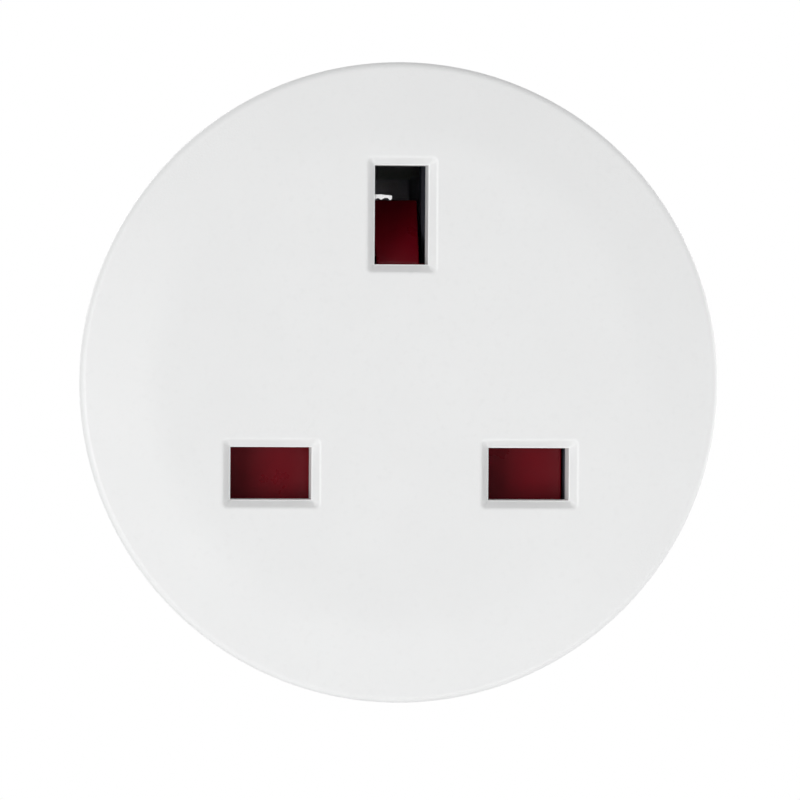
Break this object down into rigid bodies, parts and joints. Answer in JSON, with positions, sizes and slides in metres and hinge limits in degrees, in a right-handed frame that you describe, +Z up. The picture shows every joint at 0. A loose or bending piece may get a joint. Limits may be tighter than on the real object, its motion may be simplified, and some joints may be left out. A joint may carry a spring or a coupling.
{
  "type": "travel adapter",
  "caption": "Round white travel adapter: three-slot British socket with a red safety shutter in front, round earthed two-pin continental plug behind.",
  "frame": {"origin": "centre of the plug nose's end face, the face that meets the floor of the wall socket", "axes": "+Y out of the nose into the wall, along the pins; +Z up, towards the earth aperture; +X to the right seen from the socket face"},
  "size_m": [0.055, 0.0635, 0.055],
  "materials": {
    "white_plastic": "satin moulded white",
    "housing_plastic": "satin moulded white, fine grain",
    "black_plastic": "matte moulded black",
    "red_plastic": "glossy moulded deep red",
    "spring_steel": "drawn spring steel",
    "contact_brass": "stamped brass",
    "pin_plating": "nickel plating on turned brass",
    "strap_metal": "nickel-plated spring strip",
    "sleeve_metal": "nickel-plated turned sleeve",
    "screw_steel": "zinc-plated steel"
  },
  "bodies": {
    "body": {"front_cover": "white_plastic", "rear_housing": "housing_plastic", "contact_cover": "black_plastic", "shutter_spring": "spring_steel", "live_contact": "contact_brass", "neutral_contact": "contact_brass", "earth_contact": "contact_brass", "live_contact_clip": "spring_steel", "neutral_contact_clip": "spring_steel", "live_pin": "pin_plating", "neutral_pin": "pin_plating", "earth_strap": "strap_metal", "earth_sleeve": "sleeve_metal", "earth_rivet": "contact_brass", "housing_screw_1": "screw_steel", "housing_screw_2": "screw_steel", "housing_screw_3": "screw_steel"},
    "shutter": {"shutter": "red_plastic"}
  },
  "joints": [
    {"name": "shutter_slide", "type": "slide", "parent": "body", "child": "shutter", "axis": [0, 0, -1], "range_m": [0, 0.0058], "stiffness_N_per_m": 250, "springref_m": -0.004, "deforming": ["shutter_spring"]}
  ]
}
